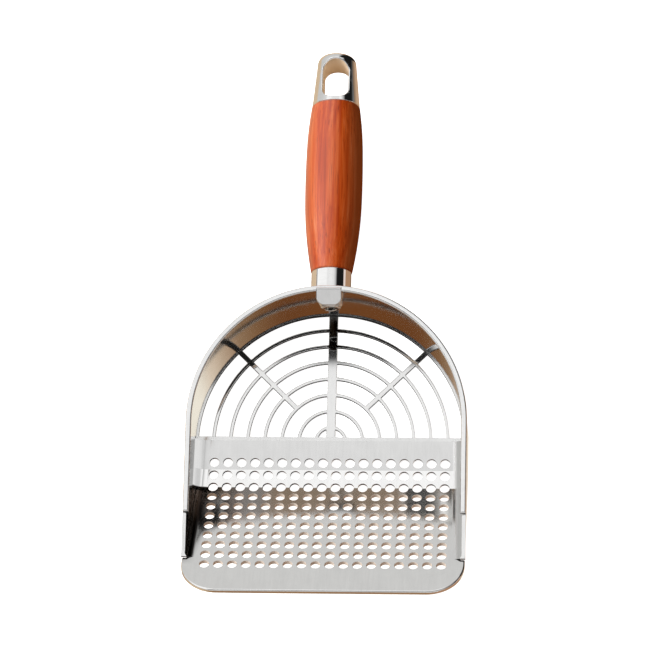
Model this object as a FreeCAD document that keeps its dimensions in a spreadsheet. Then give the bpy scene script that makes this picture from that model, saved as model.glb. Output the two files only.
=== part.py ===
import FreeCAD, Part
import math
import os
import Sketcher
from FreeCAD import Placement, Rotation, Vector

# Hand scoop for sifting sand: stainless sieve head, turned wooden grip.
# Frame: +Z up, +Y towards the grip, X across; the head stands on z = 0 and
# the origin is the common centre of the grille arcs.

DIMENSIONS = {
    "sheet": 1.2,             # thickness of wall, grille and flanges
    "pan_floor": 2.2,         # the pan's perforated floor is heavier
    "wall_radius": 73.15,     # inside of the round back wall
    "wall_top": 43.8,         # height of the wall's top edge at the very back
    "wall_top_front": 36.2,   # height of that edge where the wall band stops
    "wall_front": 50.0,       # the wall band stops this far in front of the centre
    "bead_width": 3.2,        # rounded bead along the wall's top edge
    "bead_height": 2.6,
    "bead_overhang": 0.75,    # how far the bead stands proud of the inside
    "pan_half_width": 75.6,   # outside of the pan's side flanges
    "crease_front": 17.0,     # slight crease in the pan's first slope
    "crease_height": 3.9,
    "bend_front": 27.7,       # bend line of the pan, in front of the centre
    "bend_height": 6.5,       # upper surface of the pan at the bend
    "front_slope": 30.7,      # slope of the front plate in degrees
    "flange_front": 74.3,     # the side flanges stop here
    "flange_end_height": 35.4,
    "flange_hem": 2.1,        # folded edge on top of the flanges
    "lip_reach": 78.6,        # bend to lip, measured along the front plate
    "corner_radius": 20.0,    # rounded front corners
    "lip_rounding": 0.9,
    "seam_width": 2.2,        # pan's back strip that lies on the grille
    "hole_diameter": 5.3,
    "hole_pitch": 7.4,
    "arc_first": 8.1,         # radius of the smallest grille arc
    "arc_pitch": 9.32,
    "arc_width": 1.8,
    "foot_step": 0.85,        # foot ring showing on the inside of the wall
    "middle_rib": 5.0,
    "side_rib": 2.7,
    "axis_height": 27.5,      # height of the grip's axis
    "rod_diameter": 8.0,
    "nut_diameter": 13.0,
    "nut_reach": 5.8,
    "tongue_width": 13.9,
    "tongue_thickness": 2.2,
    "ferrule_diameter": 22.0,
    "grip_start": 88.2,
    "grip_end": 185.2,
    "grip_start_diameter": 22.7,
    "grip_diameter": 31.7,
    "grip_end_diameter": 26.8,
    "cap_diameter": 26.4,
    "cap_top_diameter": 21.6,
    "cap_top": 216.0,
    "slot_width": 14.0,
    "slot_start": 187.9,
    "slot_end": 210.8,
    "spigot_diameter": 14.0,
}
HOLE_COLUMNS = 18
PLATE_ROWS = 8
RISER_ROWS = 3
ARCS = 7
TONGUE_DIP = 29.0             # degrees


class Dim:
    """A length known both as a number and as a spreadsheet expression."""

    def __init__(self, value, text):
        self.value = value
        self.text = text

    def _join(self, other, sign, swap=False):
        other = as_dim(other)
        left, right = (other, self) if swap else (self, other)
        value = {
            "+": left.value + right.value,
            "-": left.value - right.value,
            "*": left.value * right.value,
        }.get(sign)
        if value is None:
            value = left.value / right.value
        return Dim(value, "(%s %s %s)" % (left.text, sign, right.text))

    def __add__(self, other):
        return self._join(other, "+")

    def __radd__(self, other):
        return self._join(other, "+", True)

    def __sub__(self, other):
        return self._join(other, "-")

    def __rsub__(self, other):
        return self._join(other, "-", True)

    def __mul__(self, other):
        return self._join(other, "*")

    def __rmul__(self, other):
        return self._join(other, "*", True)

    def __truediv__(self, other):
        return self._join(other, "/")

    def __neg__(self):
        return 0 - self


def as_dim(item):
    if isinstance(item, Dim):
        return item
    return Dim(float(item), repr(float(item)))


def sine(angle):
    return Dim(math.sin(math.radians(angle.value)), "sin(%s)" % angle.text)


def cosine(angle):
    return Dim(math.cos(math.radians(angle.value)), "cos(%s)" % angle.text)


def make_sheet(document):
    """Write the driving dimensions and return them as Dim objects."""
    sheet = document.addObject("Spreadsheet::Sheet", "dims")
    dims = {}
    for row, (name, value) in enumerate(DIMENSIONS.items(), start=1):
        sheet.set("A%d" % row, name)
        sheet.set("B%d" % row, repr(value))
        sheet.setAlias("B%d" % row, name)
        dims[name] = Dim(value, "dims.%s" % name)
    document.recompute()
    return dims


# ---------------------------------------------------------------- helpers

def bind(target, prop, item):
    """Drive one property of an object from the spreadsheet."""
    item = as_dim(item)
    if "dims." in item.text:
        target.setExpression(prop, item.text)
    else:
        setattr(target, prop, item.value)


def bind_position(target, x, y, z):
    target.Placement.Base = Vector(as_dim(x).value, as_dim(y).value, as_dim(z).value)
    for axis, item in zip("xyz", (x, y, z)):
        if "dims." in as_dim(item).text:
            target.setExpression("Placement.Base.%s" % axis, item.text)


def new_body(document, name):
    body = document.addObject("PartDesign::Body", name)
    return body


def origin_plane(body, role):
    for feature in body.Origin.OriginFeatures:
        if feature.Role == role:
            return feature
    raise ValueError(role)


def new_sketch(body, role, name, offset=None):
    sketch = body.newObject("Sketcher::SketchObject", name)
    sketch.AttachmentSupport = (origin_plane(body, role), [""])
    sketch.MapMode = "FlatFace"
    if offset is not None:
        sketch.AttachmentOffset = offset
    return sketch


def arc_between(start, end, radius):
    """Arc from start to end; a positive radius turns anticlockwise."""
    middle = (start + end) * 0.5
    chord = end - start
    side = Vector(-chord.y, chord.x, 0).normalize()
    height = math.sqrt(max(radius * radius - chord.Length ** 2 / 4, 0.0))
    centre = middle + side * (height if radius > 0 else -height)
    first = math.atan2(start.y - centre.y, start.x - centre.x)
    last = math.atan2(end.y - centre.y, end.x - centre.x)
    if radius < 0:
        first, last = last, first
    circle = Part.Circle(centre, Vector(0, 0, 1), abs(radius))
    return Part.ArcOfCircle(circle, first, last)


def draw(sketch, corners, closed=True):
    """Lines and arcs through the corners (x, y, radius of the arc that follows)."""
    points = [Vector(as_dim(c[0]).value, as_dim(c[1]).value, 0) for c in corners]
    count = len(corners) if closed else len(corners) - 1
    ends = []
    for i in range(count):
        start, end = points[i], points[(i + 1) % len(points)]
        radius = corners[i][2] if len(corners[i]) > 2 else None
        if radius is None:
            edge = sketch.addGeometry(Part.LineSegment(start, end), False)
            ends.append((edge, 1, 2))
            continue
        radius = as_dim(radius)
        edge = sketch.addGeometry(arc_between(start, end, radius.value), False)
        ends.append((edge, 1, 2) if radius.value > 0 else (edge, 2, 1))
    for i in range(count - (0 if closed else 1)):
        following = ends[(i + 1) % count]
        sketch.addConstraint(Sketcher.Constraint(
            "Coincident", ends[i][0], ends[i][2], following[0], following[1]))
    for i in range(count):
        edge, first, last = ends[i]
        pin_corner(sketch, edge, first, corners[i])
        if len(corners[i]) < 3 or corners[i][2] is None:
            continue
        radius = as_dim(corners[i][2])
        if (points[(i + 1) % len(points)] - points[i]).Length > 1.999 * abs(radius.value):
            sketch.addConstraint(Sketcher.Constraint("Horizontal", edge, 3, edge, 1))
            continue
        size = Dim(abs(radius.value), "abs(%s)" % radius.text)
        index = sketch.addConstraint(Sketcher.Constraint("Radius", edge, size.value))
        if "dims." in size.text:
            sketch.setExpression("Constraints[%d]" % index, size.text)
    if not closed:
        pin_corner(sketch, ends[-1][0], ends[-1][2], corners[-1])


def pin_corner(sketch, edge, point, corner):
    for kind, axis, item in (("DistanceX", -2, corner[0]), ("DistanceY", -1, corner[1])):
        item = as_dim(item)
        if abs(item.value) < 1e-9:
            sketch.addConstraint(Sketcher.Constraint("PointOnObject", edge, point, axis))
            continue
        index = sketch.addConstraint(
            Sketcher.Constraint(kind, -1, 1, edge, point, item.value))
        if "dims." in item.text:
            sketch.setExpression("Constraints[%d]" % index, item.text)


def draw_circle(sketch, x, y, diameter):
    x, y, diameter = as_dim(x), as_dim(y), as_dim(diameter)
    circle = Part.Circle(Vector(x.value, y.value, 0), Vector(0, 0, 1), diameter.value / 2)
    edge = sketch.addGeometry(circle, False)
    index = sketch.addConstraint(Sketcher.Constraint("Diameter", edge, diameter.value))
    sketch.setExpression("Constraints[%d]" % index, diameter.text)
    for kind, axis, item in (("DistanceX", -2, x), ("DistanceY", -1, y)):
        if abs(item.value) < 1e-9:
            sketch.addConstraint(Sketcher.Constraint("PointOnObject", edge, 3, axis))
            continue
        index = sketch.addConstraint(Sketcher.Constraint(kind, -1, 1, edge, 3, item.value))
        if "dims." in item.text:
            sketch.setExpression("Constraints[%d]" % index, item.text)


def add_pad(body, sketch, name, length, midplane=False, reverse=False):
    pad = body.newObject("PartDesign::Pad", name)
    pad.Profile = sketch
    bind(pad, "Length", length)
    pad.Midplane = midplane
    pad.Reversed = reverse
    return pad


def add_pocket(body, sketch, name, length, midplane=False, reverse=False):
    pocket = body.newObject("PartDesign::Pocket", name)
    pocket.Profile = sketch
    bind(pocket, "Length", length)
    pocket.Midplane = midplane
    pocket.Reversed = reverse
    return pocket


def add_revolution(body, sketch, name):
    """Full turn about the sketch's own vertical axis."""
    turn = body.newObject("PartDesign::Revolution", name)
    turn.Profile = sketch
    turn.ReferenceAxis = (sketch, ["V_Axis"])
    turn.Angle = 360.0
    return turn


def tilted_offset(dims, angle, drop):
    """Sketch plane on the front plate: its Y axis runs from the bend to the lip."""
    turn = Rotation(Vector(0, 0, 1), 180) * Rotation(Vector(1, 0, 0), angle)
    base = Vector(0, -dims["bend_front"].value, dims["bend_height"].value - drop)
    return Placement(base, turn)


def boolean(document, kind, name, base, tool):
    joined = document.addObject("Part::" + kind, name)
    joined.Base = base
    joined.Tool = tool
    return joined


def face_name(shape, normal):
    """Name of the planar face that looks along the given direction."""
    for index, face in enumerate(shape.Faces, start=1):
        if face.Surface.TypeId != "Part::GeomPlane":
            continue
        if face.normalAt(0, 0).getAngle(normal) < 0.01:
            return "Face%d" % index
    raise ValueError("no such face")


def soften(body, feature, name, radius, normals):
    """Round every edge of the planar faces that look along the given directions."""
    fillet = body.newObject("PartDesign::Fillet", name)
    fillet.Base = (feature, [face_name(feature.Shape, normal) for normal in normals])
    fillet.Radius = radius
    return fillet


def rim_slope(d):
    rise = d["wall_top"] - d["wall_top_front"]
    return rise / (d["wall_radius"] + d["wall_front"])


def rim_height(d, front):
    """Height of the wall's top edge at a distance in front of the centre."""
    return d["wall_top"] - rim_slope(d) * (d["wall_radius"] + front)


# ------------------------------------------------------------- sieve head

def side_profile(document, name, corners, width):
    """Prism across X from an outline in the YZ plane."""
    body = new_body(document, name)
    sketch = new_sketch(body, "YZ_Plane", name + "_outline")
    draw(sketch, corners)
    body.Tip = add_pad(body, sketch, name + "_prism", width, midplane=True)
    return body


def make_side_wall(document, d):
    """U-shaped band: half a ring at the back, straight legs towards the mouth."""
    body = new_body(document, "wall_band")
    sketch = new_sketch(body, "XY_Plane", "wall_plan")
    inner = d["wall_radius"]
    outer = d["wall_radius"] + d["sheet"]
    front = -d["wall_front"]
    draw(sketch, [
        (outer, front), (outer, 0, outer), (-outer, 0), (-outer, front),
        (-inner, front), (-inner, 0, -inner), (inner, 0), (inner, front)])
    pad = add_pad(body, sketch, "wall_height", 60)
    body.Tip = pad
    back = d["wall_radius"] + 6
    side = side_profile(document, "wall_side", [
        (back, d["sheet"]), (0, d["sheet"]), (0, 11.4), (-d["bend_front"], 14.6),
        (-d["wall_front"], d["wall_top_front"] - 9.3),
        (-d["wall_front"], d["wall_top_front"]),
        (back, rim_height(d, -back))], 200)
    return boolean(document, "Common", "side_wall", body, side)


def make_rim_bead(document, d, wall):
    """Rounded bead that wraps the wall's top edge, following its slope."""
    body = new_body(document, "bead_roll")
    sketch = new_sketch(body, "XY_Plane", "bead_plan")
    inner = d["wall_radius"] - d["bead_overhang"]
    outer = inner + d["bead_width"]
    front = -d["wall_front"]
    draw(sketch, [
        (outer, front), (outer, 0, outer), (-outer, 0), (-outer, front),
        (-inner, front), (-inner, 0, -inner), (inner, 0), (inner, front)])
    pad = add_pad(body, sketch, "bead_bar", d["bead_height"], midplane=True)
    document.recompute()
    up = Vector(0, 0, 1)
    body.Tip = soften(body, pad, "bead_rounding", 0.9, [up, -up])
    slope = math.degrees(math.atan(rim_slope(d).value))
    body.Placement = Placement(
        Vector(0, 0, rim_height(d, 0).value), Rotation(Vector(1, 0, 0), slope))
    body.setExpression("Placement.Base.z", rim_height(d, 0).text)
    return boolean(document, "Cut", "rim_bead", body, wall)


def pan_section(body, name, d, front, floor, thickness, radius):
    """One cross-section of the pan: floor, rounded corners, upright flanges."""
    place = Placement(Vector(0, 0, as_dim(front).value), Rotation())
    sketch = new_sketch(body, "XZ_Plane", name, place)
    if "dims." in as_dim(front).text:
        sketch.setExpression("AttachmentOffset.Base.z", front.text)
    wide = d["pan_half_width"]
    t = d["sheet"]
    top = 60
    under = floor - thickness
    inner = radius - t
    draw(sketch, [
        (-wide, top), (-wide, under + radius, radius),
        (radius - wide, under), (wide - radius, under, radius),
        (wide, under + radius), (wide, top), (wide - t, top),
        (wide - t, floor + inner, -inner), (wide - radius, floor),
        (radius - wide, floor, -inner), (t - wide, floor + inner), (t - wide, top)])
    return sketch


def plate_height(d, front):
    """Upper surface of the front plate at a distance in front of the centre."""
    angle = d["front_slope"]
    return d["bend_height"] + (front - d["bend_front"]) * sine(angle) / cosine(angle)


def make_pan_shell(document, d, body):
    """Creased first slope, front plate and side flanges, as a straight-ruled loft."""
    t = d["sheet"]
    steep = d["pan_floor"] / cosine(d["front_slope"])
    end = d["flange_front"]
    back = pan_section(body, "pan_back", d, as_dim(0), t * 2, t, as_dim(10.0))
    crease = pan_section(body, "pan_crease", d, d["crease_front"], d["crease_height"],
                         d["pan_floor"], as_dim(9.5))
    bend = pan_section(body, "pan_bend", d, d["bend_front"], d["bend_height"],
                       steep, as_dim(9.0))
    front = pan_section(body, "pan_front", d, end, plate_height(d, end), steep,
                        as_dim(6.5))
    document.recompute()
    loft = body.newObject("PartDesign::AdditiveLoft", "pan_loft")
    loft.Profile = back
    loft.Sections = [crease, bend, front]
    loft.Ruled = True
    loft.Closed = False
    return loft


def trim_pan_flanges(document, d, body):
    """Cut the flanges down: under the bead at the back, level with it in front."""
    sketch = new_sketch(body, "YZ_Plane", "flange_trim")
    half = d["bead_height"] / 2
    stop = d["wall_front"]
    step = stop + 1.0
    end = d["flange_front"] + 1
    draw(sketch, [
        (1, 65), (-end, 65), (-end, d["flange_end_height"]),
        (-step, rim_height(d, 0) - rim_slope(d) * step + 1.2),
        (-step, d["wall_top_front"] - 4.0), (-stop, d["wall_top_front"] - 4.0),
        (-stop, d["wall_top_front"] - half), (1, rim_height(d, 0) - half)])
    return add_pocket(body, sketch, "flange_trim_cut", 200, midplane=True)


def add_flange_hems(document, d, body):
    """Folded edge along the top of both flanges, from the bead to their ends."""
    wide = d["pan_half_width"]
    thick = d["flange_hem"]
    step = d["wall_front"] + 1.0
    start = rim_height(d, 0) - rim_slope(d) * step + 1.2
    end = d["flange_front"]
    last = d["flange_end_height"]
    deep = 2.2
    for name, near in (("right", wide - thick), ("left", -wide)):
        place = Placement(Vector(0, 0, near.value), Rotation())
        sketch = new_sketch(body, "YZ_Plane", name + "_hem_side", place)
        sketch.setExpression("AttachmentOffset.Base.z", near.text)
        draw(sketch, [
            (-step, start), (-end, last), (-end, last - deep), (-step, start - deep)])
        add_pad(body, sketch, name + "_flange_hem", thick)
        document.recompute()


def mouth_outline(d):
    """Front of the plate in its own plane: rounded corners and a narrower root."""
    wide = d["pan_half_width"] - 0.3
    reach = d["lip_reach"]
    radius = d["corner_radius"]
    first = as_dim(54.8)
    root = d["pan_half_width"] - 2.9
    return [
        (wide, first), (wide, reach - radius, radius), (wide - radius, reach),
        (radius - wide, reach, radius), (-wide, reach - radius), (-wide, first),
        (-root, first), (-root, first - 3), (root, first - 3), (root, first)]


def make_front_pan(document, d):
    """Perforated pan: seam strip, two slopes, flanges and the lip's rounded edge."""
    body = new_body(document, "front_pan")
    make_pan_shell(document, d, body)
    document.recompute()
    trim_pan_flanges(document, d, body)
    document.recompute()
    add_flange_hems(document, d, body)
    offset = tilted_offset(d, d["front_slope"].value, 0)
    mouth = new_sketch(body, "XY_Plane", "mouth_plan", offset)
    draw(mouth, mouth_outline(d))
    plate = add_pad(body, mouth, "mouth_plate", d["pan_floor"], reverse=True)
    document.recompute()
    round_lip(d, body, plate, offset)
    add_seam_strip(document, d, body)
    document.recompute()
    drill_pan(document, d, body)
    return body


def round_lip(d, body, feature, offset):
    """Round the upper edge of the lip and of its two corners."""
    first = d["lip_reach"].value - d["corner_radius"].value - 0.1
    names = []
    for index, edge in enumerate(feature.Shape.Edges, start=1):
        ends = [offset.inverse().multVec(vertex.Point) for vertex in edge.Vertexes]
        if all(abs(end.z) < 0.01 and end.y > first for end in ends):
            names.append("Edge%d" % index)
    fillet = body.newObject("PartDesign::Fillet", "lip_rounding")
    fillet.Base = (feature, names)
    bind(fillet, "Radius", d["lip_rounding"])


def add_seam_strip(document, d, body):
    """Flat strip behind the riser that lies on the grille's front bar."""
    place = Placement(Vector(0, 0, d["sheet"].value), Rotation())
    sketch = new_sketch(body, "XY_Plane", "seam_plan", place)
    sketch.setExpression("AttachmentOffset.Base.z", d["sheet"].text)
    wide = d["wall_radius"] - 0.4
    draw(sketch, [
        (wide, -0.4), (wide, d["seam_width"]), (-wide, d["seam_width"]), (-wide, -0.4)])
    add_pad(body, sketch, "seam_strip", d["sheet"])


def drill_pan(document, d, body):
    """Punched holes: one master hole per slope, repeated in rows and columns."""
    pitch = d["hole_pitch"]
    first_x = -pitch * ((HOLE_COLUMNS - 1) / 2)
    plate = new_sketch(body, "XY_Plane", "plate_hole",
                       tilted_offset(d, d["front_slope"].value, 0))
    draw_circle(plate, first_x, pitch, d["hole_diameter"])
    riser = new_sketch(body, "XY_Plane", "riser_hole",
                       Placement(Vector(0, 0, 9), Rotation()))
    draw_circle(riser, first_x, -d["bend_front"], d["hole_diameter"])
    document.recompute()
    repeat(document, d, body, plate, "plate_holes", PLATE_ROWS, 6)
    repeat(document, d, body, riser, "riser_holes", RISER_ROWS, 9)


def repeat(document, d, body, sketch, name, rows, depth):
    pocket = add_pocket(body, sketch, name + "_first", depth)
    if rows == PLATE_ROWS:
        pocket.Midplane = True
    document.recompute()
    pattern = body.newObject("PartDesign::MultiTransform", name)
    pattern.Originals = [pocket]
    steps = []
    for axis, count in (("H_Axis", HOLE_COLUMNS), ("V_Axis", rows)):
        step = body.newObject("PartDesign::LinearPattern", name + "_" + axis[0].lower())
        step.Direction = (sketch, [axis])
        step.Mode = "Extent"
        step.Occurrences = count
        bind(step, "Length", d["hole_pitch"] * (count - 1))
        steps.append(step)
    pattern.Transformations = steps
    body.Tip = pattern
    document.recompute()


def make_ring(document, d, name, inner, outer):
    """Flat ring, still complete, as thick as the sheet."""
    discs = []
    for side, radius in (("_outer", outer), ("_inner", inner)):
        disc = document.addObject("Part::Cylinder", name + side)
        bind(disc, "Radius", radius)
        bind(disc, "Height", d["sheet"])
        discs.append(disc)
    return boolean(document, "Cut", name, discs[0], discs[1])


def add_block(document, name, x, y, z, length, width, height):
    block = document.addObject("Part::Box", name)
    bind(block, "Length", length)
    bind(block, "Width", width)
    bind(block, "Height", height)
    bind_position(block, x, y, z)
    return block


def make_rib(document, d, name, angle, width, start):
    """Flat radial rib that ends on the foot ring."""
    length = d["wall_radius"] - start
    rib = add_block(document, name, 0, 0, 0, length, width, d["sheet"])
    turn = Rotation(Vector(0, 0, 1), angle)
    corner = turn.multVec(Vector(as_dim(start).value, -width.value / 2, 0))
    rib.Placement = Placement(corner, turn)
    return rib


def make_arc_grille(document, d):
    """Arcs, foot ring, three ribs and the front bar, all cut from one sheet."""
    rings = []
    for index in range(ARCS):
        middle = d["arc_first"] + d["arc_pitch"] * index
        half = d["arc_width"] / 2
        rings.append(make_ring(document, d, "arc_%d" % (index + 1),
                               middle - half, middle + half))
    rings.append(make_ring(document, d, "foot_ring", d["wall_radius"] - d["foot_step"],
                           d["wall_radius"] + d["sheet"]))
    full = document.addObject("Part::MultiFuse", "arc_set")
    full.Shapes = rings
    back = add_block(document, "back_half", -90, 0, -1, 180, 90, 5)
    pieces = [boolean(document, "Common", "arc_halves", full, back)]
    wide = d["wall_radius"] - 0.4
    pieces.append(add_block(document, "front_bar", -wide, -3.0, 0, wide * 2, 5.4,
                            d["sheet"]))
    side_start = d["arc_first"] + d["arc_pitch"] * 2
    for name, angle, width, start in (
            ("middle_rib_bar", 90, d["middle_rib"], 0),
            ("right_rib_bar", 45, d["side_rib"], side_start),
            ("left_rib_bar", 135, d["side_rib"], side_start)):
        pieces.append(make_rib(document, d, name, angle, width, start))
    whole = document.addObject("Part::MultiFuse", "arc_grille")
    whole.Shapes = pieces
    return whole


# ----------------------------------------------------------------- handle

def make_rim_tongue(document, d, bead):
    """Bevelled tongue that lies over the bead and dips towards the inside."""
    body = new_body(document, "tongue_plate")
    turn = Rotation(Vector(1, 0, 0), TONGUE_DIP)
    high = Vector(0, d["wall_radius"].value + 0.3, d["wall_top"].value + 2.3)
    sketch = new_sketch(body, "XY_Plane", "tongue_plan", Placement(high, turn))
    half = d["tongue_width"] / 2
    draw(sketch, [
        (half, 0), (-half, 0), (-half, -6.2, as_dim(4.5)), (4.2 - half, -9.8),
        (half - 4.2, -9.8, as_dim(4.5)), (half, -6.2)])
    pad = add_pad(body, sketch, "tongue_slab", d["tongue_thickness"], reverse=True)
    document.recompute()
    upward = turn.multVec(Vector(0, 0, 1))
    body.Tip = soften(body, pad, "tongue_bevel", 0.9, [upward])
    return boolean(document, "Cut", "rim_tongue", body, bead.Base)


def turned(document, d, name, corners):
    """Turned piece on the grip's axis: corners are (radius, y)."""
    body = new_body(document, name)
    sketch = new_sketch(body, "XY_Plane", name + "_profile")
    draw(sketch, corners)
    body.Tip = add_revolution(body, sketch, name + "_turn")
    bind_position(body, as_dim(0), as_dim(0), d["axis_height"])
    return body


def make_clamp_nut(document, d, wall_space):
    """Round open nut on the inside of the wall; the rod ends inside it."""
    face = d["wall_radius"] - d["nut_reach"]
    rod = d["rod_diameter"] / 2
    rim = d["nut_diameter"] / 2
    blank = turned(document, d, "nut_blank", [
        (3.0, face + 2.2), (3.0, face + 0.3), (3.3, face),
        (rim - 2.4, face, as_dim(1.5)), (rim - 0.9, face + 1.5), (rim, face + 2.6),
        (rim, d["wall_radius"] + 1), (rod, d["wall_radius"] + 1), (rod, face + 2.2)])
    return boolean(document, "Common", "clamp_nut", blank, wall_space)


def make_tie_rod(document, d):
    """Rod from the nut through the wall, ferrule and grip into the end cap."""
    rod = d["rod_diameter"] / 2
    first = d["wall_radius"] - d["nut_reach"] + 2.2
    last = d["grip_end"] - 3.0
    return turned(document, d, "tie_rod", [
        (0, first), (rod, first), (rod, last), (0, last)])


def make_ferrule(document, d, wall_outside):
    """Polished collar between wall and grip, shaped to the round wall."""
    rod = d["rod_diameter"] / 2
    outer = d["ferrule_diameter"] / 2
    blank = turned(document, d, "ferrule_blank", [
        (rod, 60), (outer, 60), (outer, d["grip_start"] - 0.4),
        (outer - 0.4, d["grip_start"]), (rod, d["grip_start"])])
    return boolean(document, "Cut", "ferrule", blank, wall_outside)


def make_wood_grip(document, d):
    """Barrel-shaped wooden grip with a through bore and a counterbore."""
    body = new_body(document, "wood_grip")
    sketch = new_sketch(body, "XY_Plane", "grip_profile")
    start, end = d["grip_start"], d["grip_end"]
    rod = d["rod_diameter"] / 2
    spigot = d["spigot_diameter"] / 2
    first = d["grip_start_diameter"] / 2
    widest = d["grip_diameter"] / 2
    last = d["grip_end_diameter"] / 2
    shoulder = end - 12.0
    draw(sketch, [
        (rod, start), (first - 0.5, start), (first, start + 0.5, as_dim(240.0)),
        (widest - 0.15, start + 43, as_dim(660.0)), (widest - 0.35, end - 25, as_dim(216.0)),
        (last, end - 0.5), (last - 0.5, end), (spigot, end), (spigot, shoulder),
        (rod, shoulder)])
    body.Tip = add_revolution(body, sketch, "grip_turn")
    bind_position(body, as_dim(0), as_dim(0), d["axis_height"])
    return body


def make_end_cap(document, d):
    """Polished tapered cap with a hanging slot and a spigot inside the grip."""
    body = new_body(document, "end_cap")
    sketch = new_sketch(body, "XY_Plane", "cap_profile")
    rod = d["rod_diameter"] / 2
    spigot = d["spigot_diameter"] / 2
    wide = d["cap_diameter"] / 2
    narrow = d["cap_top_diameter"] / 2
    start, top = d["grip_end"], d["cap_top"]
    draw(sketch, [
        (rod, start - 12.0), (spigot, start - 12.0), (spigot, start), (wide - 0.4, start),
        (wide, start + 0.4), (narrow, top - 4.6, as_dim(5.2)), (narrow - 4.6, top - 0.3),
        (0, top), (0, start - 3.0), (rod, start - 3.0)])
    add_revolution(body, sketch, "cap_turn")
    document.recompute()
    slot = new_sketch(body, "XY_Plane", "slot_plan")
    half = d["slot_width"] / 2
    low, high = d["slot_start"], d["slot_end"]
    draw(slot, [
        (half, low + 5, None), (half, high - half, half), (-half, high - half),
        (-half, low + 5, as_dim(5.0)), (5 - half, low), (half - 5, low, as_dim(5.0))])
    cut = add_pocket(body, slot, "hanging_slot", 60, midplane=True)
    document.recompute()
    body.Tip = round_slot(document, body, cut)
    bind_position(body, as_dim(0), as_dim(0), d["axis_height"])
    return body


def round_slot(document, body, cut):
    """Break the sharp edges where the slot leaves the cap."""
    names = []
    for index, edge in enumerate(cut.Shape.Edges, start=1):
        box = edge.BoundBox
        on_slot = box.YMin > DIMENSIONS["slot_start"] - 0.2
        inside = box.YMax < DIMENSIONS["slot_end"] + 0.2
        slim = max(abs(box.XMin), abs(box.XMax)) < DIMENSIONS["slot_width"] / 2 + 0.2
        tall = box.ZMin > 2 or box.ZMax < -2
        if on_slot and inside and slim and tall:
            names.append("Edge%d" % index)
    fillet = body.newObject("PartDesign::Fillet", "slot_round")
    fillet.Base = (cut, names)
    fillet.Radius = 0.6
    return fillet


def make_helper_rooms(document, d):
    """Inside and outside cylinders used to shape the nut and the ferrule."""
    inside = document.addObject("Part::Cylinder", "wall_inside")
    bind(inside, "Radius", d["wall_radius"])
    inside.Height = 60
    outside = document.addObject("Part::Cylinder", "wall_outside")
    bind(outside, "Radius", d["wall_radius"] + d["sheet"])
    outside.Height = 60
    return inside, outside


def pierce_wall(document, d, wall):
    """Hole for the tie rod through the back of the wall."""
    hole = document.addObject("Part::Cylinder", "rod_hole")
    bind(hole, "Radius", d["rod_diameter"] / 2)
    hole.Height = 20
    hole.Placement = Placement(Vector(0, 82, d["axis_height"].value),
                               Rotation(Vector(1, 0, 0), 90))
    hole.setExpression("Placement.Base.z", d["axis_height"].text)
    return boolean(document, "Cut", "side_wall_pierced", wall, hole)


def check(document):
    """Stop if any object failed to build."""
    for item in document.Objects:
        for state in item.State:
            if state in ("Invalid", "Error"):
                raise RuntimeError("%s is %s" % (item.Name, state))
        if item.TypeId == "PartDesign::LinearPattern":
            continue  # a step of a pattern; the pattern itself carries the shape
        if item.isDerivedFrom("Part::Feature"):
            if item.Shape.isNull() or not item.Shape.isValid():
                raise RuntimeError("%s has a bad shape" % item.Name)


def main():
    document = FreeCAD.newDocument("sand_scoop")
    d = make_sheet(document)
    wall_blank = make_side_wall(document, d)
    wall_blank.Label = "side_wall_blank"
    document.recompute()
    bead = make_rim_bead(document, d, wall_blank)
    document.recompute()
    inside, outside = make_helper_rooms(document, d)
    wall = pierce_wall(document, d, wall_blank)
    parts = {
        "side_wall": wall,
        "rim_bead": bead,
        "front_pan": make_front_pan(document, d),
        "arc_grille": make_arc_grille(document, d),
        "rim_tongue": make_rim_tongue(document, d, bead),
        "clamp_nut": make_clamp_nut(document, d, inside),
        "tie_rod": make_tie_rod(document, d),
        "ferrule": make_ferrule(document, d, outside),
        "wood_grip": make_wood_grip(document, d),
        "end_cap": make_end_cap(document, d),
    }
    document.recompute()
    for label, item in parts.items():
        item.Label = label
    check(document)
    os.makedirs("parts", exist_ok=True)
    for label, item in parts.items():
        box = item.Shape.BoundBox
        print("%-11s solids %d volume %9.1f  x %.1f %.1f  y %.1f %.1f  z %.1f %.1f" % (
            label, len(item.Shape.Solids), item.Shape.Volume,
            box.XMin, box.XMax, box.YMin, box.YMax, box.ZMin, box.ZMax))
        item.Shape.exportStep("parts/%s.step" % label)


main()
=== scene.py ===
import bpy
import math
from mathutils import Matrix, Vector


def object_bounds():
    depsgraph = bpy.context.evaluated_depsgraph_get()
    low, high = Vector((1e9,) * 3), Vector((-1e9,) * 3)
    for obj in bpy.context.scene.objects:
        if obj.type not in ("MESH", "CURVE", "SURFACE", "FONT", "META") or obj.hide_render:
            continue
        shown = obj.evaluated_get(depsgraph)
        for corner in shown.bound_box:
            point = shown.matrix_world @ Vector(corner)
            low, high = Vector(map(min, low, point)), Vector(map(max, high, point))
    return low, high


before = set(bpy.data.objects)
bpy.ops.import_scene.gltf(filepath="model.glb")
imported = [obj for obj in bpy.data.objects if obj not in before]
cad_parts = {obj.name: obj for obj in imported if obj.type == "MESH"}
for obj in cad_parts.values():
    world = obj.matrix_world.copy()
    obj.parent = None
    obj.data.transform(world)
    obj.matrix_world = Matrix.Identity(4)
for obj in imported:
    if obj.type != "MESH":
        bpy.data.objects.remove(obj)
CAD_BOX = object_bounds()

# Camera: a long lens from above the mouth, a little to the right, aimed between
# the mouth and the grip; its picture's up is the way the grip points.
CAMERA_AT = Vector((0.1347, -0.5532, 1.8530))
CAMERA_AIM = Vector((-0.0043, 0.0631, 0.0150))
CAMERA_UP = Vector((-0.0038, 0.9480, 0.3182))
LENS = 197.1

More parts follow.
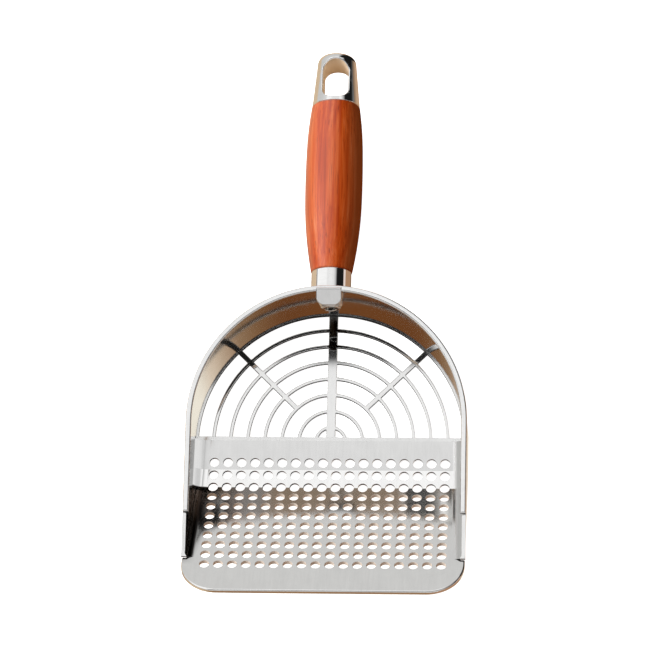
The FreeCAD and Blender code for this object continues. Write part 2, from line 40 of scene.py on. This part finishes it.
# Places on the part, in metres.
BEND_BACK, BEND_FRONT = -0.0272, -0.0282    # either side of the bend above the front plate
SLOPE_NORMAL = (0.10, 0.99)                 # Y and Z parts of the gentle slopes' normal
PLATE_NORMAL = (0.51, 0.86)                 # and of the front plate's
HOLE_FIELD_X = 0.067                        # half width of the pan's field of holes
HOLE_FIELD_FRONT, HOLE_FIELD_BACK = -0.083, -0.001
PLATE_HOLES_BACK = -0.0285
FLANGE_X = 0.070                            # the pan's side flanges lie outside this
FLANGE_FRONT = -0.074                       # and stop here
BEAD_FRONT = -0.0495                        # the bead stops here
GRIP_AXIS_Z = 0.0275
CAP_TAPER = 0.093                           # rise of the cap's cone per unit of length
SLOT_X = 0.0073                             # just outside the hanging slot's half width
SLOT_START, SLOT_END = 0.1875, 0.2112

# Tints for steel, painted on as shade and as reflection.
BLACK = (0.020, 0.018, 0.016, 1)
BROWN = (0.150, 0.120, 0.105, 1)
DARK_GREY = (0.10, 0.09, 0.085, 1)
EDGE_GREY = (0.28, 0.27, 0.26, 1)
MID_GREY = (0.42, 0.42, 0.41, 1)
PALE_TAN = (0.97, 0.88, 0.80, 1)
WARM_REFLECTION_SATIN = (0.98, 0.84, 0.66, 1)


# ------------------------------------------------------------- node helpers

class Tree:
    """Short names for building a shader node tree."""

    def __init__(self, tree):
        self.tree = tree
        self.nodes = tree.nodes
        self.nodes.clear()

    def add(self, kind, **inputs):
        node = self.nodes.new(kind)
        for name, value in inputs.items():
            self.put(node, name, value)
        return node

    def put(self, node, name, value):
        socket = node.inputs[name.replace("_", " ")] if isinstance(name, str) else node.inputs[name]
        if isinstance(value, bpy.types.NodeSocket):
            self.tree.links.new(value, socket)
        else:
            socket.default_value = value

    def math(self, operation, first, second=None, third=None):
        node = self.nodes.new("ShaderNodeMath")
        node.operation = operation
        for index, value in enumerate((first, second, third)):
            if value is not None:
                self.put(node, index, value)
        return node.outputs[0]

    def product(self, first, *others):
        for other in others:
            first = self.math("MULTIPLY", first, other)
        return first

    def vector(self, operation, *vectors):
        """Outputs of a vector math node."""
        node = self.nodes.new("ShaderNodeVectorMath")
        node.operation = operation
        for index, value in enumerate(vectors):
            self.put(node, index, value)
        return node.outputs

    def ramp(self, factor, stops):
        node = self.nodes.new("ShaderNodeValToRGB")
        elements = node.color_ramp.elements
        while len(elements) < len(stops):
            elements.new(0.5)
        for element, (place, colour) in zip(elements, stops):
            element.position = place
            if not isinstance(colour, tuple):
                colour = (colour, colour, colour)
            element.color = (*colour[:3], 1.0)
        self.put(node, "Fac", factor)
        return node.outputs["Color"]

    def spread(self, value, low, high, to_low=0.0, to_high=1.0):
        """Follow value from low to high, clamped at both ends."""
        node = self.nodes.new("ShaderNodeMapRange")
        node.clamp = True
        for name, item in (("Value", value), ("From Min", low), ("From Max", high),
                           ("To Min", to_low), ("To Max", to_high)):
            self.put(node, name, item)
        return node.outputs["Result"]

    def band(self, value, low, high, soft):
        """1 between low and high, falling to 0 over soft on both sides."""
        rising = self.spread(value, low - soft / 2, low + soft / 2)
        falling = self.spread(value, high + soft / 2, high - soft / 2)
        return self.product(rising, falling)

    def mix(self, factor, first, second, blend="MIX"):
        node = self.nodes.new("ShaderNodeMix")
        node.data_type = "RGBA"
        node.blend_type = blend
        self.put(node, 0, factor)
        self.put(node, 6, first)
        self.put(node, 7, second)
        return node.outputs[2]

    def noise(self, vector, detail, roughness=0.5, distortion=0.0):
        node = self.add("ShaderNodeTexNoise", Vector=vector, Scale=1.0, Detail=detail,
                        Roughness=roughness, Distortion=distortion)
        return node.outputs["Fac"]

    def place(self, scale, turn=(0, 0, 0), shift=(0, 0, 0)):
        """Object coordinates in metres, stretched by scale."""
        source = self.nodes.new("ShaderNodeTexCoord").outputs["Object"]
        node = self.nodes.new("ShaderNodeMapping")
        self.put(node, "Vector", source)
        node.inputs["Scale"].default_value = scale
        node.inputs["Rotation"].default_value = turn
        node.inputs["Location"].default_value = shift
        return node.outputs["Vector"]

    def show(self, kind, shader):
        """Join a shader to the tree's output."""
        self.put(self.add(kind), "Surface", shader.outputs[0])


class Surface:
    """Where a surface is, in metres, and the direction that it faces, as sockets."""

    def __init__(self, t):
        place = t.nodes.new("ShaderNodeTexCoord").outputs["Object"]
        facing = t.nodes.new("ShaderNodeNewGeometry").outputs["Normal"]
        self.x, self.y, self.z = t.add("ShaderNodeSeparateXYZ", Vector=place).outputs
        self.out_x, self.out_y, self.out_z = t.add("ShaderNodeSeparateXYZ", Vector=facing).outputs


def srgb(red, green, blue):
    """Linear colour from the usual 0 to 255 screen values."""
    def one(value):
        value = value / 255
        return value / 12.92 if value <= 0.04045 else ((value + 0.055) / 1.055) ** 2.4
    return (one(red), one(green), one(blue), 1)


def new_material(name):
    material = bpy.data.materials.new(name)
    material.use_nodes = True
    return material, Tree(material.node_tree)


def dress(node_name, material):
    """Give a CAD node one material."""
    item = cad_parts[node_name]
    item.data.materials.clear()
    item.data.materials.append(material)


# -------------------------------------------------------------------- steel

def steel(name, tint, rough_low, rough_high, scratch, along, edge=0.0003,
          shade=None, normal=None, matte=None):
    """Stainless steel with softened edges, fine scratches and a few smudges.

    shade lists (amount, tint) pairs, normal bends the shading direction, and
    matte says where the polish is missing.
    """
    material, t = new_material(name)
    rounded = t.add("ShaderNodeBevel", Radius=edge)
    rounded.samples = 6
    facing = rounded.outputs["Normal"]
    if normal is not None:
        facing = normal(t, facing)
    fine = t.noise(t.place(along), detail=3.0, roughness=0.6)
    cross = t.noise(t.place(tuple(reversed(along)), turn=(0.2, 0.1, 0.5)), detail=2.0)
    cloud = t.noise(t.place((38, 38, 38)), detail=5.0, roughness=0.6)
    smudge = t.noise(t.place((120, 90, 120), shift=(3, 1, 2)), detail=3.0)
    marks = t.math("MULTIPLY_ADD", fine, 0.6, t.product(cross, 0.4))
    rough = t.math("MULTIPLY_ADD", cloud, 0.55, t.product(marks, 0.45))
    smudged = tuple(c * 0.93 for c in tint)
    colour = t.ramp(t.math("MULTIPLY_ADD", smudge, 0.5, t.product(fine, 0.5)),
                    [(0.30, smudged), (0.62, tint)])
    # painted shade and painted reflection laid over the steel's own colour
    if shade is not None:
        for amount, tone in shade(t, facing):
            colour = t.mix(amount, colour, tone)
    bump = t.add("ShaderNodeBump", Strength=scratch, Distance=0.00004, Height=marks,
                 Normal=facing)
    polish = t.spread(rough, 0.32, 0.68, rough_low, rough_high)
    shader = t.add("ShaderNodeBsdfPrincipled", Base_Color=colour,
                   Normal=bump.outputs["Normal"])
    shader.inputs["Metallic"].default_value = 1.0
    shader.inputs["IOR"].default_value = 2.5
    shader.inputs["Specular IOR Level"].default_value = 0.0
    if matte is not None:
        dull = matte(t, facing)
        polish = t.math("MAXIMUM", polish, t.product(dull, 0.55))
        t.put(shader, "Metallic", t.math("SUBTRACT", 1.0, t.product(dull, 0.75)))
    t.put(shader, "Roughness", polish)
    t.show("ShaderNodeOutputMaterial", shader)
    return material


def grille_shade(t, facing):
    """Grille: painted shade makes the cut edges darker than its faces, black on those that face the
    mouth.
    """
    up = t.add("ShaderNodeSeparateXYZ", Vector=facing).outputs["Z"]
    return [(t.spread(up, 0.88, 0.70), EDGE_GREY), (mouth_edge(t, facing), BLACK)]


def mouth_edge(t, facing):
    """Grille: 1 on the cut edges that face the mouth."""
    forward = t.add("ShaderNodeSeparateXYZ", Vector=facing).outputs["Y"]
    return t.spread(forward, -0.08, -0.24)


def along_normal(t, s, normal):
    """How squarely the surface faces a direction given by its Y and Z parts."""
    return t.math("MULTIPLY_ADD", s.out_y, normal[0], t.product(s.out_z, normal[1]))


def hole_side(t, s, level, back):
    """Pan: 1 on the punched sides of the holes, from the lip as far as back."""
    upright = t.spread(level, 0.6, 0.4)
    return t.product(upright, t.band(s.x, -HOLE_FIELD_X, HOLE_FIELD_X, 0.0005),
                     t.band(s.y, HOLE_FIELD_FRONT, back, 0.0005))


def pan_shade(t, facing):
    """Pan: painted shade and painted reflection: tan or grey sides in the holes, a dark left fold
    and crease, a grey right flange, dark flange ends.
    """
    s = Surface(t)
    on_plate = t.spread(s.y, BEND_BACK, BEND_FRONT)
    on_slopes = t.math("SUBTRACT", 1.0, on_plate)
    level = t.math("ADD", t.product(along_normal(t, s, SLOPE_NORMAL), on_slopes),
                   t.product(along_normal(t, s, PLATE_NORMAL), on_plate))
    punched = hole_side(t, s, level, HOLE_FIELD_BACK)
    # painted shade on the sides of the slopes' holes, dark grey, and a painted reflection of the
    # warm table on those of the plate, pale tan
    hole_tint = t.mix(on_plate, DARK_GREY, PALE_TAN)
    inward = t.product(s.out_x, s.x)
    # painted shade, brown going to black towards the lip, on the left fold and a strip of plate
    # beside it, narrower towards the lip
    left_plate = t.product(on_plate, t.spread(s.x, 0.0, -0.01))
    fold = t.product(t.spread(inward, -0.001, -0.010), left_plate)
    strip_edge = t.spread(s.y, -0.035, -0.074, -0.0585, -0.0680)
    strip = t.spread(t.math("SUBTRACT", s.x, strip_edge), 0.0, -0.0080, 0.0, 0.9)
    strip = t.product(strip, left_plate, t.spread(level, 0.92, 0.97),
                      t.spread(s.y, -0.079, -0.072))
    fold_tint = t.mix(t.spread(s.y, -0.036, -0.050), BROWN, BLACK)
    # painted shadow, black, in the crease along the bend on the left
    crease = t.product(t.spread(s.x, -0.052, -0.064), t.band(s.y, -0.0305, -0.0278, 0.0008))
    # painted shade, mid grey, on the inside of the right flange
    right_flange = t.product(t.spread(inward, -0.010, -0.030), t.spread(s.x, 0.0, 0.01))
    # painted shade, black, on the front ends of the flanges
    end = t.product(t.spread(s.out_y, -0.93, -0.97),
                    t.spread(t.math("ABSOLUTE", s.x), FLANGE_X - 0.001, FLANGE_X),
                    t.spread(s.y, FLANGE_FRONT + 0.001, FLANGE_FRONT))
    return [(strip, fold_tint), (fold, fold_tint), (crease, BLACK), (right_flange, MID_GREY),
            (punched, hole_tint), (end, BLACK)]


def pan_facing(t, facing):
    """Pan: the left flange beside the slopes leans up, as a drawn corner does."""
    s = Surface(t)
    upright = t.product(t.spread(s.out_x, 0.30, 0.85), t.spread(s.x, 0.0, -0.01),
                        t.spread(s.y, BEND_FRONT, BEND_BACK))
    lift = t.add("ShaderNodeCombineXYZ", Z=t.product(upright, 3.9)).outputs[0]
    return t.vector("NORMALIZE", t.vector("ADD", facing, lift)[0])[0]


def pan_matte(t, facing):
    """Pan: the right flange and the punched sides in the plate are duller than the floor."""
    s = Surface(t)
    flange = t.product(t.spread(t.product(s.out_x, s.x), -0.010, -0.030),
                       t.spread(s.x, 0.0, 0.01))
    level = along_normal(t, s, PLATE_NORMAL)
    return t.math("MAXIMUM", flange, hole_side(t, s, level, PLATE_HOLES_BACK))


def bead_shade(t, facing):
    """Bead: painted shade blackens the two sawn ends."""
    s = Surface(t)
    end = t.product(t.spread(s.out_y, -0.90, -0.97),
                    t.spread(s.y, BEAD_FRONT + 0.0005, BEAD_FRONT))
    return [(end, BLACK)]


def fitting_shade(t, facing):
    """Tongue, nut and rod: painted shade blackens the undersides."""
    return [(t.spread(Surface(t).out_z, 0.0, -0.3), BLACK)]


def slot_side(t, facing):
    """End cap: 1 on the sides of the hanging slot."""
    s = Surface(t)
    upright = t.spread(t.math("ABSOLUTE", s.out_z), 0.45, 0.30)
    return t.product(upright, t.band(s.x, -SLOT_X, SLOT_X, 0.0003),
                     t.band(s.y, SLOT_START, SLOT_END, 0.0004))


def cap_shade(t, facing):
    """End cap: the slot's sides are satin with a warm painted reflection."""
    return [(slot_side(t, facing), WARM_REFLECTION_SATIN)]


def cap_facing(t, facing):
    """End cap: exact direction of the taper wherever the surface follows it."""
    s = Surface(t)
    up = t.math("SUBTRACT", s.z, GRIP_AXIS_Z)
    radius = t.math("SQRT", t.math("MULTIPLY_ADD", s.x, s.x, t.product(up, up)))
    cone = t.add("ShaderNodeCombineXYZ", X=s.x, Y=t.product(radius, CAP_TAPER), Z=up)
    cone = t.vector("NORMALIZE", cone.outputs[0])[0]
    agreement = t.vector("DOT_PRODUCT", cone, facing)["Value"]
    blend = t.nodes.new("ShaderNodeMix")
    blend.data_type = "VECTOR"
    t.put(blend, 0, t.spread(agreement, 0.985, 0.995))
    t.put(blend, 4, facing)
    t.put(blend, 5, cone)
    return blend.outputs[1]


# --------------------------------------------------------- wood and the floor

def wood(name):
    """Orange-red hardwood with its grain along the grip and a thin oil finish."""
    material, t = new_material(name)
    wide = t.noise(t.place((150, 7, 150)), detail=3.0, roughness=0.55, distortion=0.35)
    fine = t.noise(t.place((620, 16, 620), shift=(2, 0, 1)), detail=4.0, roughness=0.6)
    pore = t.noise(t.place((1900, 60, 1900), shift=(0, 5, 1)), detail=2.0)
    patch = t.noise(t.place((45, 14, 45), shift=(7, 2, 0)), detail=2.0)
    grain = t.math("MULTIPLY_ADD", wide, 0.50, t.product(fine, 0.50))
    colour = t.ramp(grain, [
        (0.30, srgb(150, 44, 8)), (0.43, srgb(188, 72, 22)), (0.51, srgb(210, 94, 36)),
        (0.59, srgb(224, 117, 66)), (0.70, srgb(238, 156, 112))])
    colour = t.mix(t.spread(patch, 0.4, 0.75, 0.0, 0.35), colour, srgb(194, 68, 18))
    colour = t.mix(t.spread(pore, 0.58, 0.72, 0.0, 0.6), colour, srgb(118, 32, 8))
    # towards the right the wood is painted paler, a painted light, and the oil is worn off
    right = Surface(t).out_x
    colour = t.mix(t.spread(right, 0.50, 0.95, 0.0, 0.5), colour, srgb(240, 132, 70))
    oil = t.spread(right, 0.30, -0.10)
    height = t.math("MULTIPLY_ADD", pore, -0.5, t.product(fine, 0.5))
    bump = t.add("ShaderNodeBump", Strength=0.25, Distance=0.00012, Height=height)
    shader = t.add("ShaderNodeBsdfPrincipled", Base_Color=colour,
                   Roughness=t.spread(grain, 0.3, 0.7, 0.42, 0.33),
                   Normal=bump.outputs["Normal"])
    shader.inputs["IOR"].default_value = 1.46
    shader.inputs["Coat IOR"].default_value = 1.7
    shader.inputs["Coat Roughness"].default_value = 0.30
    t.put(shader, "Coat Weight", oil)
    t.put(shader, "Specular IOR Level", t.product(oil, 0.5))
    t.show("ShaderNodeOutputMaterial", shader)
    return material


def floor_material():
    """Pale, faintly mottled studio table that glows a little, like a light table."""
    material, t = new_material("studio_floor")
    cloud = t.noise(t.place((9, 9, 9)), detail=3.0)
    colour = t.ramp(cloud, [(0.3, 0.93), (0.7, 0.96)])
    shader = t.add("ShaderNodeBsdfPrincipled", Base_Color=colour)
    shader.inputs["Roughness"].default_value = 0.9
    shader.inputs["Specular IOR Level"].default_value = 0.1
    shader.inputs["Emission Color"].default_value = (1, 1, 1, 1)
    shader.inputs["Emission Strength"].default_value = 0.95
    t.show("ShaderNodeOutputMaterial", shader)
    return material


def make_floor():
    """Square floor just under the part. It is left out of mirrors, which see the warm table."""
    size, gap = 6.0, 0.0004
    z = CAD_BOX[0][2] - gap
    mesh = bpy.data.meshes.new("studio_floor")
    mesh.from_pydata([(-size, -size, z), (size, -size, z), (size, size, z), (-size, size, z)],
                     [], [(0, 1, 2, 3)])
    floor = bpy.data.objects.new("studio_floor", mesh)
    bpy.context.scene.collection.objects.link(floor)
    mesh.materials.append(floor_material())
    floor.visible_glossy = False
    floor.visible_diffuse = False


# ------------------------------------------------------------ painted studio
# The steel mirrors these. x, y and z are the parts of the mirrored direction.
# Each area after the tent is a function that returns its amount and its colour.

STUDIO_BLACK = (0.010, 0.010, 0.010, 1)


def tent(t, x, y, z):
    """Pale tent over a warm table, with dark flags on the right."""
    # across: 0 at the right horizon, 0.5 overhead, 1 at the left horizon
    across = t.math("DIVIDE", t.math("ARCTAN2", z, x), math.pi)
    colour = t.ramp(across, [
        (0.000, srgb(240, 226, 218)), (0.055, srgb(232, 214, 206)), (0.075, 0.012),
        (0.300, 0.010), (0.345, srgb(190, 190, 190)), (0.40, srgb(232, 232, 232)),
        (0.48, srgb(244, 244, 244)), (0.60, srgb(238, 238, 238)), (0.64, 0.98),
        (0.965, 1.0), (0.975, 0.03), (1.0, 0.05)])
    return t.mix(t.spread(z, -0.06, -0.02), table(t, x, y, z), colour)


def table(t, x, y, z):
    """Warm table top: brown to cream straight below, tan further out."""
    slant = t.math("MULTIPLY_ADD", x, 0.6, y)
    below = t.ramp(t.spread(slant, -0.5, 0.7), [
        (0.100, srgb(112, 68, 36)), (0.250, srgb(110, 68, 38)), (0.375, srgb(128, 94, 64)),
        (0.480, srgb(148, 120, 92)), (0.517, srgb(168, 140, 114)), (0.583, srgb(194, 172, 148)),
        (0.652, srgb(222, 205, 184)), (0.708, srgb(246, 239, 224)), (0.767, srgb(246, 239, 224)),
        (0.850, srgb(58, 50, 44))])
    side = t.ramp(t.spread(x, -0.6, 0.6), [
        (0.0, srgb(214, 190, 160)), (0.35, srgb(150, 118, 86)), (1.0, srgb(176, 138, 108))])
    return t.mix(t.spread(z, -0.90, -0.75), below, side)


def right_wall(t, x, y, z):
    """The right flags stop level with the head, and a grey wall goes on towards the mouth."""
    amount = t.product(t.spread(y, 0.06, -0.04), t.spread(x, 0.0, 0.15), t.spread(z, 0.05, 0.12))
    return amount, srgb(138, 133, 130)


def mouth_wall(t, x, y, z):
    """Beyond the mouth: a dim wall low down, pale above."""
    colour = t.ramp(z, [
        (0.00, srgb(104, 86, 70)), (0.20, srgb(142, 124, 106)), (0.30, srgb(150, 132, 116)),
        (0.36, srgb(232, 232, 232)), (0.80, srgb(214, 214, 214))])
    return t.product(t.spread(y, -0.30, -0.55), t.spread(z, -0.02, 0.0)), colour


def low_left_flag(t, x, y, z):
    """Dark flag low on the left, fading to grey towards the grip."""
    amount = t.product(t.band(y, -0.45, 0.28, 0.03), t.band(z, 0.04, 0.27, 0.03),
                       t.spread(x, -0.5, -0.6))
    colour = t.ramp(t.spread(y, -0.45, 0.30), [
        (0.00, srgb(60, 50, 42)), (0.12, 0.012), (0.72, 0.012), (0.80, srgb(120, 116, 112)),
        (1.00, srgb(176, 174, 172))])
    return amount, colour


def behind_grip(t, x, y, z):
    """What the end cap mirrors: pale tent, a wide black flag right and a thin one left."""
    # lean: 0.25 is the left horizon and 0.75 the right one
    lean = t.math("MULTIPLY_ADD", t.math("ARCTAN2", x, z), 0.5 / math.pi, 0.5)
    colour = t.ramp(lean, [
        (0.220, srgb(214, 190, 160)), (0.232, 0.02), (0.252, 0.03), (0.270, 0.95),
        (0.430, 1.0), (0.450, srgb(226, 226, 226)), (0.570, srgb(206, 206, 206)),
        (0.620, 0.012), (0.795, 0.010), (0.805, srgb(198, 164, 134))])
    return t.spread(y, 0.332, 0.345), colour


def far_end(t, x, y, z):
    """What the pan's slopes and front plate mirror: grey, with one bright strip."""
    colour = t.ramp(z, [
        (0.00, srgb(206, 205, 203)), (0.30, srgb(210, 210, 209)), (0.56, srgb(226, 226, 226)),
        (0.61, 1.0), (0.77, 1.0), (0.81, srgb(236, 236, 236)), (0.95, srgb(230, 230, 230))])
    return t.product(t.spread(y, 0.43, 0.46), t.spread(z, -0.30, -0.20)), colour


def far_right_flag(t, x, y, z):
    """Dark flag at the far right, which the front plate mirrors beside its bend."""
    amount = t.product(t.spread(y, 0.45, 0.50), t.spread(x, 0.12, 0.30), t.spread(z, 0.75, 0.55))
    return amount, STUDIO_BLACK


def ceiling(t, x, y, z):
    """Dark ceiling between the soft boxes, over the mouth."""
    aside = t.math("ABSOLUTE", x)
    reach = t.math("SUBTRACT", y, t.spread(aside, 0.12, 0.32, -0.03, 0.12))
    amount = t.product(t.spread(reach, 0.01, -0.02), t.spread(aside, 0.48, 0.42),
                       t.spread(y, -0.42, -0.38), t.spread(z, 0.70, 0.76))
    return amount, STUDIO_BLACK


def seam(t, x, y, z):
    """Narrow dark seam between two soft boxes, which blackens the back of the grille."""
    amount = t.product(t.band(y, 0.3068, 0.3230, 0.0020), t.band(x, -0.25, 0.20, 0.03),
                       t.spread(z, 0.5, 0.6))
    return amount, STUDIO_BLACK


def camera_body(t, x, y, z):
    """The camera itself, dark."""
    towards = (CAMERA_AT - CAMERA_AIM).normalized()
    nearness = t.math("ADD", t.product(x, towards.x),
                      t.math("MULTIPLY_ADD", y, towards.y, t.product(z, towards.z)))
    return t.spread(nearness, 0.982, 0.988), STUDIO_BLACK


STUDIO_AREAS = (right_wall, mouth_wall, low_left_flag, behind_grip, far_end, far_right_flag,
                ceiling, seam, camera_body)


def make_surroundings():
    """Soft studio around the scoop, painted by direction."""
    world = bpy.data.worlds.new("studio")
    bpy.context.scene.world = world
    world.use_nodes = True
    t = Tree(world.node_tree)
    direction = t.nodes.new("ShaderNodeTexCoord").outputs["Generated"]
    split = t.add("ShaderNodeSeparateXYZ", Vector=direction).outputs
    x, y, z = split["X"], split["Y"], split["Z"]
    colour = tent(t, x, y, z)
    for area in STUDIO_AREAS:
        amount, tone = area(t, x, y, z)
        colour = t.mix(amount, colour, tone)
    # softer on matt surfaces, and plain and pale where the camera sees it
    path = t.nodes.new("ShaderNodeLightPath").outputs
    dim = t.mix(path["Is Diffuse Ray"], (1, 1, 1, 1), (0.48, 0.48, 0.48, 1))
    colour = t.mix(1.0, colour, dim, blend="MULTIPLY")
    colour = t.mix(path["Is Camera Ray"], colour, (0.97, 0.97, 0.97, 1))
    background = t.add("ShaderNodeBackground", Color=colour)
    background.inputs["Strength"].default_value = 1.0
    t.show("ShaderNodeOutputWorld", background)


def make_key_light():
    """Large soft light high on the left. The steel mirrors the painted studio instead of it."""
    at, aim = Vector((-0.9, 0.25, 0.95)), Vector((0, 0.14, 0.02))
    data = bpy.data.lights.new("key_left", "AREA")
    data.shape = "RECTANGLE"
    data.size, data.size_y = 0.5, 0.9
    data.energy = 18.0
    light = bpy.data.objects.new("key_left", data)
    light.location = at
    light.rotation_euler = (aim - at).to_track_quat("-Z", "Y").to_euler()
    light.visible_glossy = False
    light.visible_camera = False
    bpy.context.scene.collection.objects.link(light)


def make_camera():
    data = bpy.data.cameras.new("camera")
    data.lens = LENS
    data.sensor_width = 36.0
    data.clip_start, data.clip_end = 0.05, 30.0
    camera = bpy.data.objects.new("camera", data)
    back = (CAMERA_AT - CAMERA_AIM).normalized()
    right = CAMERA_UP.cross(back).normalized()
    up = back.cross(right)
    turn = Matrix((right, up, back)).transposed().to_4x4()
    camera.matrix_world = Matrix.Translation(CAMERA_AT) @ turn
    bpy.context.scene.collection.objects.link(camera)
    bpy.context.scene.camera = camera


# ------------------------------------------------------------------- pieces

def dress_head():
    """Sieve head: side wall, pan, grille and bead."""
    sheet = (0.93, 0.928, 0.92)
    dress("side_wall", steel("wall_sheet", (0.88, 0.875, 0.865), 0.09, 0.15, 0.03, (700, 700, 60)))
    dress("front_pan", steel("pan_sheet", sheet, 0.06, 0.13, 0.02, (700, 60, 60), edge=0.00012,
                             shade=pan_shade, normal=pan_facing, matte=pan_matte))
    dress("arc_grille", steel("grille_sheet", sheet, 0.015, 0.028, 0.01, (600, 120, 600),
                              edge=0.0007, shade=grille_shade, matte=mouth_edge))
    dress("rim_bead", steel("bead_steel", (0.95, 0.95, 0.945), 0.04, 0.10, 0.03, (500, 500, 500),
                            shade=bead_shade))


def dress_handle():
    """Handle: tongue, nut, rod, collar, wooden grip and end cap."""
    mirror = (0.93, 0.928, 0.92)
    dress("rim_tongue", steel("tongue_steel", (0.86, 0.855, 0.85), 0.10, 0.20, 0.06,
                              (700, 120, 120), shade=fitting_shade))
    fitting = steel("fitting_steel", (0.80, 0.77, 0.73), 0.08, 0.18, 0.12, (500, 500, 500),
                    shade=fitting_shade)
    for node_name in ("clamp_nut", "tie_rod"):
        dress(node_name, fitting)
    dress("ferrule", steel("ferrule_steel", mirror, 0.01, 0.03, 0.006, (140, 900, 140)))
    dress("wood_grip", wood("grip_wood"))
    dress("end_cap", steel("cap_steel", mirror, 0.01, 0.03, 0.006, (140, 900, 140),
                           shade=cap_shade, normal=cap_facing, matte=slot_side))


def smooth(item, angle=32.0):
    """Soft shading across the facets of a curved CAD face, crisp at real edges."""
    for polygon in item.data.polygons:
        polygon.use_smooth = True
    item.data.set_sharp_from_angle(angle=math.radians(angle))


make_camera()
make_floor()
make_surroundings()
make_key_light()
dress_head()
dress_handle()
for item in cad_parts.values():
    smooth(item)

bpy.context.scene.view_settings.view_transform = "Standard"
bpy.context.scene.view_settings.look = "None"
